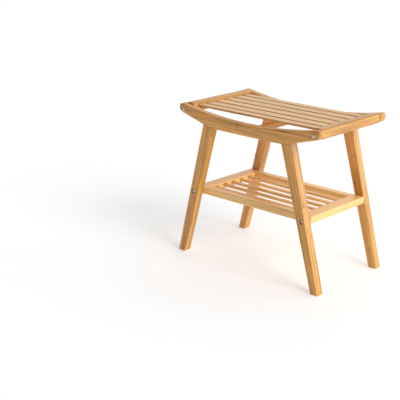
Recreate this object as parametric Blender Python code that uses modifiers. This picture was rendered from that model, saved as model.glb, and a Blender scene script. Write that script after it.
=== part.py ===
"""Shower stool: a bamboo bench seat on four splayed legs, with a slatted shelf between the legs.

Metres, +Z up. The origin is on the floor under the middle of the stool. X runs along the seat,
Y from front (-) to back (+). The left half mirrors the right half and the back mirrors the front.
"""
import math

import bmesh
import bpy
from mathutils import Matrix, Vector

# ---- overall ----
STOOL_HEIGHT = 0.4462          # floor to the end rails' top
SEAT_LENGTH = 0.498
SEAT_DEPTH = 0.296

# ---- seat: two long curved rails with two end rails between them ----
RAIL_THICK = 0.024
RAIL_DROP = 0.0239             # from the end rails' top to a long rail's top at mid-length
RAIL_TOP_RISE = 0.0254         # how far a long rail's top climbs from its middle to its ends
RAIL_TALL = 0.0328             # at mid-length
RAIL_RISE_LENGTH = 0.118       # from a long rail's end to where its underside starts to rise
RAIL_RISE_SLOPE = 0.285
RAIL_RISE_SOFT = 0.016         # how far the change from flat to rising is spread
RAIL_NOSE = 0.013              # length of the rounded end
RAIL_NOSE_POWER = 2.4          # 2 is a plain ellipse, more is squarer
RAIL_EASE = 0.004
RAIL_SPAN_STEPS = 20
RAIL_NOSE_STEPS = 8

END_RAIL_TALL = 0.0267
END_RAIL_WIDE = 0.0295
END_RAIL_INSET = 0.0045        # from a long rail's end to the end rail's outer face
END_RAIL_UPPER_RADIUS = 0.008
END_RAIL_LOWER_RADIUS = 0.005
END_RAIL_ARC_STEPS = 5

# ---- seat slats ----
SEAT_SLAT_COUNT = 6
SEAT_SLAT_GAP = 0.0066
SEAT_EDGE_SLAT_WIDE = 0.024
SEAT_EDGE_GAP = 0.020          # from an outer slat to a long rail
SEAT_SLAT_THICK = 0.006
SEAT_SLAT_DROP = 0.0069        # from the end rails' top to the slats' top
SLAT_EASE = 0.0016
SLAT_TENON = 0.008             # how far a slat's end goes into its rail

# ---- stretcher that ties the long rails together under the slats ----
STRETCHER_WIDE = 0.016
STRETCHER_TALL = 0.016
STRETCHER_UP = 0.0035          # from the rails' underside
STRETCHER_SHOULDER = 0.003
TENON_LENGTH = 0.012

# ---- legs ----
FOOT_BEYOND = 0.0098           # how far a foot's outer edge stands out past the seat's end
FOOT_WIDE = 0.0240
LEG_OUTER_LEAN = 0.2538        # metres inwards for each metre up
LEG_INNER_LEAN = 0.2839
LEG_DEEP = 0.0255
LEG_SETBACK = 0.0014           # the leg's outer face sits behind the rail's
LEG_EASE = 0.002
LEG_TRIM_ALLOWANCE = 0.012     # length cut away to fit the rail's underside

# ---- shelf ----
SHELF_TOP = 0.204
SHELF_THICK = 0.020
SHELF_RAIL_DEEP = 0.0237
SHELF_END_WIDE = 0.0375
SHELF_EASE = 0.0022
SHELF_TENON_WIDE = 0.008
SHELF_TENON_TALL = 0.010
SHELF_SLAT_COUNT = 5
SHELF_SLAT_WIDE = 0.015
SHELF_EDGE_GAP = 0.0175        # from an outer slat to a shelf rail
SHELF_SLAT_THICK = 0.0072
SHELF_SLAT_DROP = 0.007        # from the shelf frame's top to the slats' top

# ---- fasteners ----
FIT = 0.0003                   # gap between pieces that touch
BOLT_SHANK = 0.006
BOLT_HEAD = 0.0095
BOLT_HEAD_TALL = 0.0030
BOLT_SOCKET = 0.0040
BOLT_SOCKET_DEEP = 0.0016
BOLT_HEAD_EASE = 0.0009
COUNTERBORE = 0.0145
COUNTERBORE_DEEP = 0.0050
BOLT_REACH = 0.036             # how far a bolt runs into the end grain of the piece it holds
NUT_BACK = 0.028               # from that end grain to the nut's axis
NUT_WIDE = 0.010
SEAT_NUT_TALL = 0.018
SHELF_NUT_TALL = 0.012
SEAT_NUT_BEYOND = 0.002        # wood between a slat's end and a nut
SEAT_BOLT_UP = 0.0117          # from the end rails' underside
SHELF_BOLT_INSET = 0.0120      # from the shelf's end
DOWEL_WIDE = 0.006
DOWEL_IN_LEG = 0.024
DOWEL_IN_RAIL = 0.018
DOWEL_SPACING = 0.0125         # between the two dowels of a leg

# ---- shaping ----
ROUND_SIDES = 24
EDGE_STEPS = 2                 # faces across a small eased edge
RAIL_EDGE_STEPS = 3
EDGE_ANGLE = math.radians(40)  # sharper turns than this count as edges
OVERSHOOT = 0.002              # how far a cutter stands out of the face it enters
WELD = 0.00001

BAMBOO_RAIL = (0.66, 0.42, 0.19, 1.0)
BAMBOO_SLAT = (0.78, 0.56, 0.34, 1.0)
BIRCH = (0.80, 0.66, 0.46, 1.0)
ZINC = (0.72, 0.72, 0.70, 1.0)

# ---- places that follow from the sizes above ----
SEAT_HALF = SEAT_LENGTH / 2
RAIL_OUTER_Y = SEAT_DEPTH / 2
RAIL_INNER_Y = RAIL_OUTER_Y - RAIL_THICK
RAIL_DIP_TOP = STOOL_HEIGHT - RAIL_DROP
RAIL_TOP_RADIUS = (SEAT_HALF ** 2 + RAIL_TOP_RISE ** 2) / (2 * RAIL_TOP_RISE)
RAIL_BOTTOM = RAIL_DIP_TOP - RAIL_TALL
RAIL_RISE_START = SEAT_HALF - RAIL_RISE_LENGTH
END_RAIL_OUTER = SEAT_HALF - END_RAIL_INSET
END_RAIL_INNER = END_RAIL_OUTER - END_RAIL_WIDE
END_RAIL_BOTTOM = STOOL_HEIGHT - END_RAIL_TALL
SEAT_SLAT_TOP = STOOL_HEIGHT - SEAT_SLAT_DROP
SEAT_SLAT_EDGE = RAIL_INNER_Y - SEAT_EDGE_GAP
SEAT_BOLT_X = END_RAIL_INNER + SLAT_TENON + SEAT_NUT_BEYOND + NUT_WIDE / 2
SEAT_BOLT_HEIGHT = END_RAIL_BOTTOM + SEAT_BOLT_UP
FOOT_OUTER = SEAT_HALF + FOOT_BEYOND
LEG_OUTER_Y = RAIL_OUTER_Y - LEG_SETBACK
LEG_INNER_Y = LEG_OUTER_Y - LEG_DEEP
SHELF_BOTTOM = SHELF_TOP - SHELF_THICK
SHELF_MIDDLE = SHELF_TOP - SHELF_THICK / 2
SHELF_SLAT_TOP = SHELF_TOP - SHELF_SLAT_DROP
SHELF_HALF = FOOT_OUTER - LEG_OUTER_LEAN * SHELF_MIDDLE
SHELF_END_INNER = SHELF_HALF - SHELF_END_WIDE
SHELF_OUTER_Y = LEG_INNER_Y - FIT
SHELF_INNER_Y = SHELF_OUTER_Y - SHELF_RAIL_DEEP
SHELF_BOLT_X = SHELF_HALF - SHELF_BOLT_INSET


def clear_scene():
    """Remove whatever the scene holds, and make the part's two collections."""
    for old in list(bpy.data.objects):
        bpy.data.objects.remove(old, do_unlink=True)
    made = []
    for name in ("shower_stool", "cutters"):
        group = bpy.data.collections.new(name)
        bpy.context.scene.collection.children.link(group)
        made.append(group)
    return made


def make_material(name, colour, roughness, metallic=0.0):
    """A Principled material of one colour."""
    material = bpy.data.materials.new(name)
    material.use_nodes = True
    shader = material.node_tree.nodes["Principled BSDF"]
    shader.inputs["Base Color"].default_value = colour
    shader.inputs["Roughness"].default_value = roughness
    shader.inputs["Metallic"].default_value = metallic
    material.diffuse_color = colour
    return material


def add_object(name, mesh, group, material=None):
    """Link a mesh to a collection as a named object."""
    piece = bpy.data.objects.new(name, mesh)
    group.objects.link(piece)
    if material:
        mesh.materials.append(material)
    return piece


def box_mesh(name, low, high):
    """A box between two corners, given round its own centre; the centre is returned too."""
    low, high = Vector(low), Vector(high)
    shape = bmesh.new()
    bmesh.ops.create_cube(shape, size=1.0, matrix=Matrix.Diagonal((*(high - low), 1.0)))
    mesh = bpy.data.meshes.new(name)
    shape.to_mesh(mesh)
    shape.free()
    return mesh, (low + high) / 2


def make_box(name, low, high, material, ease):
    """A board or bar with eased edges."""
    mesh, centre = box_mesh(name, low, high)
    piece = add_object(name, mesh, PARTS, material)
    piece.location = centre
    add_ease(piece, ease)
    return piece


def box_cutter(name, low, high):
    """A box that only cuts."""
    mesh, centre = box_mesh(name, low, high)
    return as_cutter(name, mesh, centre)


def as_cutter(name, mesh, centre=(0.0, 0.0, 0.0), turn=(0.0, 0.0, 0.0)):
    """Put a mesh in the cutters' collection, out of the render."""
    tool = add_object(name, mesh, CUTTERS)
    tool.location = centre
    tool.rotation_euler = turn
    tool.hide_render = True
    tool.display_type = "WIRE"
    return tool


def cylinder_mesh(name, radius, length):
    """A capped cylinder along Z, centred on its origin."""
    shape = bmesh.new()
    bmesh.ops.create_cone(shape, cap_ends=True, segments=ROUND_SIDES, radius1=radius, radius2=radius,
                          depth=length)
    mesh = bpy.data.meshes.new(name)
    shape.to_mesh(mesh)
    shape.free()
    return mesh


def bore(name, radius, start, end):
    """A round cutter from one point to another."""
    start, end = Vector(start), Vector(end)
    axis = end - start
    turn = axis.to_track_quat("Z", "Y").to_euler()
    return as_cutter(name, cylinder_mesh(name, radius, axis.length), (start + end) / 2, turn)


def add_ease(piece, width, steps=EDGE_STEPS):
    """Round a piece's edges."""
    ease = piece.modifiers.new("ease", "BEVEL")
    ease.width = width
    ease.segments = steps
    ease.limit_method = "ANGLE"
    ease.angle_limit = EDGE_ANGLE
    ease.use_clamp_overlap = True


def cut(piece, tool, operation="DIFFERENCE"):
    """Cut a piece with a tool, or join one on."""
    step = piece.modifiers.new(tool.name, "BOOLEAN")
    step.operation = operation
    step.solver = "EXACT"
    step.object = tool


def outline_mesh(name, outline, thick):
    """A flat outline in X and Z, given as (x, z) points, made solid along Y around y = 0."""
    curve = bpy.data.curves.new(name, "CURVE")
    curve.dimensions = "2D"
    curve.fill_mode = "BOTH"
    curve.extrude = thick / 2
    spline = curve.splines.new("POLY")
    spline.points.add(len(outline) - 1)
    for point, (x, z) in zip(spline.points, outline):
        point.co = (x, z, 0.0, 1.0)
    spline.use_cyclic_u = True
    holder = bpy.data.objects.new(name + "_outline", curve)
    CUTTERS.objects.link(holder)
    bpy.context.view_layer.update()
    shaped = holder.evaluated_get(bpy.context.evaluated_depsgraph_get())
    mesh = bpy.data.meshes.new_from_object(shaped)
    bpy.data.objects.remove(holder, do_unlink=True)
    shape = bmesh.new()
    shape.from_mesh(mesh)
    bmesh.ops.remove_doubles(shape, verts=shape.verts, dist=WELD)
    bmesh.ops.rotate(shape, verts=shape.verts, matrix=Matrix.Rotation(math.pi / 2, 3, "X"))
    bmesh.ops.recalc_face_normals(shape, faces=shape.faces)
    shape.to_mesh(mesh)
    shape.free()
    mesh.name = name
    return mesh


def arc(centre, radius, start, stop):
    """Points along an arc, in degrees from +X towards +Z."""
    shares = [i / END_RAIL_ARC_STEPS for i in range(END_RAIL_ARC_STEPS + 1)]
    angles = [math.radians(start + (stop - start) * share) for share in shares]
    return [(centre[0] + radius * math.cos(a), centre[1] + radius * math.sin(a)) for a in angles]


def side_name(side_x, side_y):
    """Name of a corner of the stool."""
    return ("front" if side_y < 0 else "back") + "_" + ("left" if side_x < 0 else "right")


def rail_top(x):
    """Height of a long rail's top: a shallow arc that dips in the middle."""
    return RAIL_DIP_TOP + RAIL_TOP_RADIUS - math.sqrt(RAIL_TOP_RADIUS ** 2 - x * x)


def rail_bottom(x):
    """Height of a long rail's underside: flat between the legs, then rising with a soft bend."""
    past = abs(x) - RAIL_RISE_START
    return RAIL_BOTTOM + RAIL_RISE_SLOPE * (past + math.hypot(past, RAIL_RISE_SOFT)) / 2


def rail_nose(side):
    """The rounded end of a long rail, from top to bottom for +X, as a superellipse."""
    start = SEAT_HALF - RAIL_NOSE
    power = 2 / RAIL_NOSE_POWER
    points = []
    for i in range(RAIL_NOSE_STEPS + 1):
        angle = math.pi / 2 - math.pi * i / RAIL_NOSE_STEPS
        x = start + RAIL_NOSE * max(math.cos(angle), 0.0) ** power
        share = math.copysign(abs(math.sin(angle)) ** power, math.sin(angle))
        middle = (rail_top(x) + rail_bottom(x)) / 2
        points.append((side * x, middle + share * (rail_top(x) - rail_bottom(x)) / 2))
    return points


def rail_outline():
    """A long rail seen from the front, clockwise from its top left."""
    reach = SEAT_HALF - RAIL_NOSE
    xs = [reach * (2 * i / RAIL_SPAN_STEPS - 1) for i in range(1, RAIL_SPAN_STEPS)]
    top = [(x, rail_top(x)) for x in xs]
    bottom = [(x, rail_bottom(x)) for x in reversed(xs)]
    return top + rail_nose(1) + bottom + list(reversed(rail_nose(-1)))


def leg_outer(z):
    """Distance of a leg's outer edge from the middle, at a height."""
    return FOOT_OUTER - LEG_OUTER_LEAN * z


def leg_inner(z):
    """Distance of a leg's inner edge from the middle, at a height."""
    return FOOT_OUTER - FOOT_WIDE - LEG_INNER_LEAN * z


def dowel_ends(side_x, side_y, number):
    """The two ends of a leg dowel, which lies along the leg and crosses into the rail."""
    joint = RAIL_BOTTOM
    middle = (leg_outer(joint) + leg_inner(joint)) / 2
    x = middle + DOWEL_SPACING * (number - 1 / 2)
    y = side_y * (RAIL_INNER_Y + LEG_OUTER_Y) / 2
    lean = (LEG_OUTER_LEAN + LEG_INNER_LEAN) / 2
    along = Vector((-side_x * lean, 0.0, 1.0)).normalized()
    centre = Vector((side_x * x, y, joint + RAIL_RISE_SLOPE * max(x - RAIL_RISE_START, 0.0)))
    return centre - along * DOWEL_IN_LEG, centre + along * DOWEL_IN_RAIL


def make_bolt(name, side_y, x, z, seat_y, tip):
    """A socket-head bolt along Y: its head bears on the plane y = seat_y, and it ends at y = tip."""
    half_shank, half_head, half_socket = BOLT_SHANK / 2, BOLT_HEAD / 2, BOLT_SOCKET / 2
    face = seat_y + BOLT_HEAD_TALL
    profile = [
        (0.0, face - BOLT_SOCKET_DEEP), (half_socket, face - BOLT_SOCKET_DEEP), (half_socket, face),
        (half_head - BOLT_HEAD_EASE, face), (half_head, face - BOLT_HEAD_EASE), (half_head, seat_y),
        (half_shank, seat_y), (half_shank, tip + BOLT_HEAD_EASE), (half_shank - BOLT_HEAD_EASE, tip),
        (0.0, tip),
    ]
    mesh = bpy.data.meshes.new(name)
    edges = [(i, i + 1) for i in range(len(profile) - 1)]
    mesh.from_pydata([(radius, 0.0, along) for radius, along in profile], edges, [])
    piece = add_object(name, mesh, PARTS, METAL)
    piece.location = (x, 0.0, z)
    piece.rotation_euler = (-side_y * math.pi / 2, 0.0, 0.0)
    turn = piece.modifiers.new("turn", "SCREW")
    turn.axis = "Z"
    turn.steps = turn.render_steps = ROUND_SIDES
    turn.use_merge_vertices = True
    turn.merge_threshold = WELD
    turn.use_normal_calculate = True
    turn.use_normal_flip = True


def make_nut(name, x, y, z, tall):
    """A barrel nut: an upright cylinder with a cross hole for its bolt."""
    mesh = cylinder_mesh(name, NUT_WIDE / 2, tall)
    piece = add_object(name, mesh, PARTS, METAL)
    piece.location = (x, y, z)
    hole = BOLT_SHANK / 2 + FIT
    reach = NUT_WIDE / 2 + OVERSHOOT
    cut(piece, bore(name + "_hole", hole, (x, y - reach, z), (x, y + reach, z)))


def cut_for_bolt(piece, side_x, side_y, x, z, outer, inner):
    """Drill a bolt's clearance hole along Y, between two distances from the middle."""
    start, end = (side_x * x, side_y * outer, z), (side_x * x, side_y * inner, z)
    cut(piece, bore(f"{piece.name}_hole_{side_name(side_x, side_y)}", BOLT_SHANK / 2 + FIT, start, end))


def cut_for_nut(piece, side_x, side_y, x, z, tall, y, underside):
    """Drill a barrel nut's hole up from the underside."""
    top = z + tall / 2 + FIT
    start, end = (side_x * x, side_y * y, underside - OVERSHOOT), (side_x * x, side_y * y, top)
    cut(piece, bore(f"{piece.name}_nut_hole_{side_name(side_x, side_y)}", NUT_WIDE / 2 + FIT, start, end))


def make_seat_rails():
    """The two long curved rails, drilled for bolts, dowels and the stretcher's tenons."""
    for side_y in (-1, 1):
        name = "seat_rail_" + ("front" if side_y < 0 else "back")
        piece = add_object(name, outline_mesh(name, rail_outline(), RAIL_THICK), PARTS, WOOD)
        piece.location = (0.0, side_y * (RAIL_OUTER_Y + RAIL_INNER_Y) / 2, 0.0)
        add_ease(piece, RAIL_EASE, RAIL_EDGE_STEPS)
        for side_x in (-1, 1):
            cut_for_bolt(piece, side_x, side_y, SEAT_BOLT_X, SEAT_BOLT_HEIGHT,
                         RAIL_OUTER_Y + OVERSHOOT, RAIL_INNER_Y - OVERSHOOT)
            for number in (0, 1):
                start, end = dowel_ends(side_x, side_y, number)
                along = (end - start).normalized()
                label = f"{name}_dowel_{side_name(side_x, side_y)}_{number}"
                cut(piece, bore(label, DOWEL_WIDE / 2 + FIT, start, end + along * FIT))
        low, high = stretcher_tenon(side_y, FIT)
        cut(piece, box_cutter(name + "_mortise", low, high))


def make_end_rails():
    """The two straight end rails with rounded edges, slotted for the slats."""
    lower, upper = END_RAIL_LOWER_RADIUS, END_RAIL_UPPER_RADIUS
    outline = arc((END_RAIL_OUTER - lower, END_RAIL_BOTTOM + lower), lower, -90, 0)
    outline += arc((END_RAIL_OUTER - upper, STOOL_HEIGHT - upper), upper, 0, 90)
    outline += arc((END_RAIL_INNER + upper, STOOL_HEIGHT - upper), upper, 90, 180)
    outline += arc((END_RAIL_INNER + lower, END_RAIL_BOTTOM + lower), lower, 180, 270)
    nut_y = RAIL_INNER_Y - NUT_BACK
    for side_x in (-1, 1):
        name = "seat_end_" + ("left" if side_x < 0 else "right")
        points = [(side_x * x, z) for x, z in outline]
        mesh = outline_mesh(name, points, 2 * (RAIL_INNER_Y - FIT))
        piece = add_object(name, mesh, PARTS, WOOD)
        for number in range(SEAT_SLAT_COUNT):
            low_y, high_y = seat_slat_edges(number)
            near, far = END_RAIL_INNER - OVERSHOOT, END_RAIL_INNER + SLAT_TENON + FIT
            low = (min(side_x * near, side_x * far), low_y - FIT, SEAT_SLAT_TOP - SEAT_SLAT_THICK - FIT)
            high = (max(side_x * near, side_x * far), high_y + FIT, SEAT_SLAT_TOP + FIT)
            cut(piece, box_cutter(f"{name}_slot_{number + 1}", low, high))
        for side_y in (-1, 1):
            cut_for_bolt(piece, side_x, side_y, SEAT_BOLT_X, SEAT_BOLT_HEIGHT,
                         RAIL_INNER_Y + OVERSHOOT, RAIL_INNER_Y - BOLT_REACH - FIT)
            cut_for_nut(piece, side_x, side_y, SEAT_BOLT_X, SEAT_BOLT_HEIGHT, SEAT_NUT_TALL, nut_y,
                        END_RAIL_BOTTOM)


def seat_slat_edges(number):
    """Front and back edges of a seat slat; the first and last slats are narrower."""
    inner = SEAT_SLAT_EDGE - SEAT_EDGE_SLAT_WIDE
    pitch = (2 * inner - SEAT_SLAT_GAP) / (SEAT_SLAT_COUNT - 2)
    low = pitch * (number - SEAT_SLAT_COUNT / 2) + SEAT_SLAT_GAP / 2
    high = low + pitch - SEAT_SLAT_GAP
    return max(low, -SEAT_SLAT_EDGE), min(high, SEAT_SLAT_EDGE)


def make_seat_slats():
    """The seat's flat slats, housed in the end rails."""
    reach = END_RAIL_INNER + SLAT_TENON
    for number in range(SEAT_SLAT_COUNT):
        low_y, high_y = seat_slat_edges(number)
        low = (-reach, low_y, SEAT_SLAT_TOP - SEAT_SLAT_THICK)
        make_box(f"seat_slat_{number + 1}", low, (reach, high_y, SEAT_SLAT_TOP), SLAT, SLAT_EASE)


def stretcher_tenon(side_y, grow):
    """Corners of a tenon on the stretcher, grown by a clearance when it is cut as a mortise."""
    half = STRETCHER_WIDE / 2 - STRETCHER_SHOULDER + grow
    bottom = RAIL_BOTTOM + STRETCHER_UP
    ys = sorted((side_y * (RAIL_INNER_Y - OVERSHOOT), side_y * (RAIL_INNER_Y + TENON_LENGTH + grow)))
    low = (-half, ys[0], bottom + STRETCHER_SHOULDER - grow)
    high = (half, ys[1], bottom + STRETCHER_TALL - STRETCHER_SHOULDER + grow)
    return low, high


def make_stretcher():
    """The stretcher across the middle of the seat frame, with a tenon at each end."""
    bottom = RAIL_BOTTOM + STRETCHER_UP
    reach = RAIL_INNER_Y - FIT
    low = (-STRETCHER_WIDE / 2, -reach, bottom)
    piece = make_box("seat_stretcher", low, (STRETCHER_WIDE / 2, reach, bottom + STRETCHER_TALL), WOOD,
                     SHELF_EASE)
    for side_y in (-1, 1):
        tenon = box_cutter(f"seat_stretcher_tenon_{side_y}", *stretcher_tenon(side_y, 0.0))
        cut(piece, tenon, "UNION")


def rail_underside_cutter():
    """A block that fills the space above the long rails' underside, to trim the legs to fit."""
    reach = SEAT_HALF
    xs = [reach * (i / RAIL_SPAN_STEPS - 1) for i in range(2 * RAIL_SPAN_STEPS + 1)]
    lower = [(x, rail_bottom(x) - FIT) for x in xs]
    outline = lower + [(reach, STOOL_HEIGHT), (-reach, STOOL_HEIGHT)]
    return as_cutter("rail_underside", outline_mesh("rail_underside", outline, 2 * SEAT_DEPTH))


def make_legs():
    """Four tapered legs, leaning out along the seat and cut flat to the floor."""
    trim = rail_underside_cutter()
    top = RAIL_BOTTOM + RAIL_RISE_SLOPE * (leg_outer(RAIL_BOTTOM) - RAIL_RISE_START) + LEG_TRIM_ALLOWANCE
    outline = [(leg_inner(0.0), 0.0), (leg_outer(0.0), 0.0), (leg_outer(top), top), (leg_inner(top), top)]
    for side_x in (-1, 1):
        for side_y in (-1, 1):
            name = "leg_" + side_name(side_x, side_y)
            mesh = outline_mesh(name, [(side_x * x, z) for x, z in outline], LEG_DEEP)
            piece = add_object(name, mesh, PARTS, WOOD)
            piece.location = (0.0, side_y * (LEG_OUTER_Y + LEG_INNER_Y) / 2, 0.0)
            add_ease(piece, LEG_EASE, RAIL_EDGE_STEPS)
            cut(piece, trim)
            drill_leg(piece, side_x, side_y)


def drill_leg(piece, side_x, side_y):
    """Holes in a leg: two for dowels at the top, and a counterbored one for the shelf bolt."""
    for number in (0, 1):
        start, end = dowel_ends(side_x, side_y, number)
        along = (end - start).normalized()
        cut(piece, bore(f"{piece.name}_dowel_{number}", DOWEL_WIDE / 2 + FIT, start - along * FIT, end))
    x, z = SHELF_BOLT_X, SHELF_MIDDLE
    cut_for_bolt(piece, side_x, side_y, x, z, LEG_OUTER_Y + OVERSHOOT, LEG_INNER_Y - OVERSHOOT)
    mouth = (side_x * x, side_y * (LEG_OUTER_Y + OVERSHOOT), SHELF_MIDDLE)
    floor = (side_x * x, side_y * (LEG_OUTER_Y - COUNTERBORE_DEEP), SHELF_MIDDLE)
    cut(piece, bore(piece.name + "_counterbore", COUNTERBORE / 2, mouth, floor))


def shelf_tenon(side_x, side_y, grow):
    """Corners of a tenon on a shelf rail, grown by a clearance when it is cut as a mortise."""
    xs = sorted((side_x * (SHELF_END_INNER - OVERSHOOT), side_x * (SHELF_END_INNER + TENON_LENGTH + grow)))
    middle = side_y * (SHELF_INNER_Y + SHELF_OUTER_Y) / 2
    half_wide, half_tall = SHELF_TENON_WIDE / 2 + grow, SHELF_TENON_TALL / 2 + grow
    low = (xs[0], middle - half_wide, SHELF_MIDDLE - half_tall)
    return low, (xs[1], middle + half_wide, SHELF_MIDDLE + half_tall)


def make_shelf_rails():
    """The shelf's front and back rails, tenoned into its end boards."""
    reach = SHELF_END_INNER - FIT
    for side_y in (-1, 1):
        name = "shelf_rail_" + ("front" if side_y < 0 else "back")
        ys = sorted((side_y * SHELF_INNER_Y, side_y * SHELF_OUTER_Y))
        piece = make_box(name, (-reach, ys[0], SHELF_BOTTOM), (reach, ys[1], SHELF_TOP), WOOD, SHELF_EASE)
        for side_x in (-1, 1):
            tenon = box_cutter(f"{name}_tenon_{side_x}", *shelf_tenon(side_x, side_y, 0.0))
            cut(piece, tenon, "UNION")


def make_shelf_ends():
    """The shelf's end boards, slotted for slats and tenons and drilled for bolts and nuts."""
    nut_y = SHELF_OUTER_Y - NUT_BACK
    slot_low, slot_high = SHELF_SLAT_TOP - SHELF_SLAT_THICK - FIT, SHELF_SLAT_TOP + FIT
    for side_x in (-1, 1):
        name = "shelf_end_" + ("left" if side_x < 0 else "right")
        xs = sorted((side_x * SHELF_END_INNER, side_x * SHELF_HALF))
        low, high = (xs[0], -SHELF_OUTER_Y, SHELF_BOTTOM), (xs[1], SHELF_OUTER_Y, SHELF_TOP)
        piece = make_box(name, low, high, WOOD, SHELF_EASE)
        slot_end = SHELF_END_INNER + SLAT_TENON + FIT
        slots = sorted((side_x * (SHELF_END_INNER - OVERSHOOT), side_x * slot_end))
        for number in range(SHELF_SLAT_COUNT):
            low_y, high_y = shelf_slat_edges(number)
            low, high = (slots[0], low_y - FIT, slot_low), (slots[1], high_y + FIT, slot_high)
            cut(piece, box_cutter(f"{name}_slot_{number + 1}", low, high))
        for side_y in (-1, 1):
            cut(piece, box_cutter(f"{name}_mortise_{side_y}", *shelf_tenon(side_x, side_y, FIT)))
            cut_for_bolt(piece, side_x, side_y, SHELF_BOLT_X, SHELF_MIDDLE,
                         SHELF_OUTER_Y + OVERSHOOT, SHELF_OUTER_Y - BOLT_REACH - FIT)
            cut_for_nut(piece, side_x, side_y, SHELF_BOLT_X, SHELF_MIDDLE, SHELF_NUT_TALL, nut_y,
                        SHELF_BOTTOM)


def shelf_slat_edges(number):
    """Front and back edges of a shelf slat."""
    edge = SHELF_INNER_Y - SHELF_EDGE_GAP
    low = -edge + number * (2 * edge - SHELF_SLAT_WIDE) / (SHELF_SLAT_COUNT - 1)
    return low, low + SHELF_SLAT_WIDE


def make_shelf_slats():
    """The shelf's narrow slats, housed in its end boards."""
    reach = SHELF_END_INNER + SLAT_TENON
    for number in range(SHELF_SLAT_COUNT):
        low_y, high_y = shelf_slat_edges(number)
        low = (-reach, low_y, SHELF_SLAT_TOP - SHELF_SLAT_THICK)
        make_box(f"shelf_slat_{number + 1}", low, (reach, high_y, SHELF_SLAT_TOP), SLAT, SLAT_EASE)


def make_fasteners():
    """Bolts with barrel nuts at the seat and the shelf, and two dowels in each leg's top."""
    for side_x in (-1, 1):
        for side_y in (-1, 1):
            corner = side_name(side_x, side_y)
            seat_x, shelf_x = side_x * SEAT_BOLT_X, side_x * SHELF_BOLT_X
            make_bolt("seat_bolt_" + corner, side_y, seat_x, SEAT_BOLT_HEIGHT, RAIL_OUTER_Y + FIT,
                      RAIL_INNER_Y - BOLT_REACH)
            make_nut("seat_nut_" + corner, seat_x, side_y * (RAIL_INNER_Y - NUT_BACK), SEAT_BOLT_HEIGHT,
                     SEAT_NUT_TALL)
            make_bolt("shelf_bolt_" + corner, side_y, shelf_x, SHELF_MIDDLE,
                      LEG_OUTER_Y - COUNTERBORE_DEEP + FIT, SHELF_OUTER_Y - BOLT_REACH)
            make_nut("shelf_nut_" + corner, shelf_x, side_y * (SHELF_OUTER_Y - NUT_BACK), SHELF_MIDDLE,
                     SHELF_NUT_TALL)
            for number in (0, 1):
                make_dowel(f"leg_dowel_{corner}_{number + 1}", *dowel_ends(side_x, side_y, number))


def make_dowel(name, start, end):
    """A round wooden dowel between two points."""
    axis = end - start
    mesh = cylinder_mesh(name, DOWEL_WIDE / 2, axis.length)
    piece = add_object(name, mesh, PARTS, DOWEL)
    piece.location = (start + end) / 2
    piece.rotation_euler = axis.to_track_quat("Z", "Y").to_euler()


PARTS, CUTTERS = clear_scene()
WOOD = make_material("bamboo_frame", BAMBOO_RAIL, 0.42)
SLAT = make_material("bamboo_slat", BAMBOO_SLAT, 0.45)
DOWEL = make_material("dowel_wood", BIRCH, 0.6)
METAL = make_material("zinc_steel", ZINC, 0.3, 1.0)
make_seat_rails()
make_end_rails()
make_seat_slats()
make_stretcher()
make_legs()
make_shelf_rails()
make_shelf_ends()
make_shelf_slats()
make_fasteners()
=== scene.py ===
"""Looks of the shower stool: smooth eased bamboo pieces, zinc fasteners and a pale studio.

Metres, +Z up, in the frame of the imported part: X runs along the seat, Y from front (-) to back (+).
"""
import math

import bpy
import numpy as np
from bpy.props import FloatProperty, FloatVectorProperty, IntProperty, PointerProperty
from mathutils import Matrix, Vector


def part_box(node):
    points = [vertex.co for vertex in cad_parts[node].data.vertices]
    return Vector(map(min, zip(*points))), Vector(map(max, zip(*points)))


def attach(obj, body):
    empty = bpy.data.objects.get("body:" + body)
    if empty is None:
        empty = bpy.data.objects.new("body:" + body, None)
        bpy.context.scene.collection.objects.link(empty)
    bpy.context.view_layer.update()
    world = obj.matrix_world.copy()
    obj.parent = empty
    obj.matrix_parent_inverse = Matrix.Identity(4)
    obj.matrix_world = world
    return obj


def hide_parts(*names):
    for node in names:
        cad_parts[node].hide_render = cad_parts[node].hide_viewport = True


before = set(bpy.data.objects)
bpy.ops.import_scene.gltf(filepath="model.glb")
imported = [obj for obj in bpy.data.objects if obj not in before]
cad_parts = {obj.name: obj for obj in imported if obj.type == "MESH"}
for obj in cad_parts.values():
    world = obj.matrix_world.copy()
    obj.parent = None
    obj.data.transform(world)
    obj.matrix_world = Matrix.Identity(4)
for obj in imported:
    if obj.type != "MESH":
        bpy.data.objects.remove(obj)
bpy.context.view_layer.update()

bl_info = {
    "name": "Shower Stool Looks",
    "version": (1, 0, 0),
    "blender": (4, 5, 0),
    "location": "3D View > Sidebar > Stool",
    "description": "Builds a bamboo shower stool's visible pieces, finishes and studio around its frame",
    "category": "Add Mesh",
}

BODY = "root"
CORNERS = [("front_left", -1, -1), ("front_right", 1, -1), ("back_left", -1, 1), ("back_right", 1, 1)]
ENDS = [("left", -1), ("right", 1)]
SIDES = [("front", -1), ("back", 1)]
HALF_TURN = math.pi
QUARTER_TURN = math.pi / 2
SUPPORT = 0.0004        # strip of flat beside each rounded edge, which keeps the flats' shading flat
TINY = 0.00012          # smallest corner radius, so that no ring's points coincide
SHARP_EDGE = math.radians(38)
ALONG_X = (0.0, 0.0, 0.0)               # turn of a piece's grain
ALONG_Y = (0.0, 0.0, -QUARTER_TURN)
SEAT_SLATS, SHELF_SLATS = 6, 5
SHELF_LIFT = 0.34       # how far the shelf frame's tone lies towards pale from its slats' tone
RAIL_SEED, END_SEED, CROSS_BAR_SEED, SEAT_SLAT_SEED = 1, 3, 6, 10       # pick each piece's own grain
LEG_SEED, SHELF_BAR_SEED, SHELF_BOARD_SEED, SHELF_SLAT_SEED = 20, 30, 32, 40


# ---- sizes, colours and studio settings ----

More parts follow.
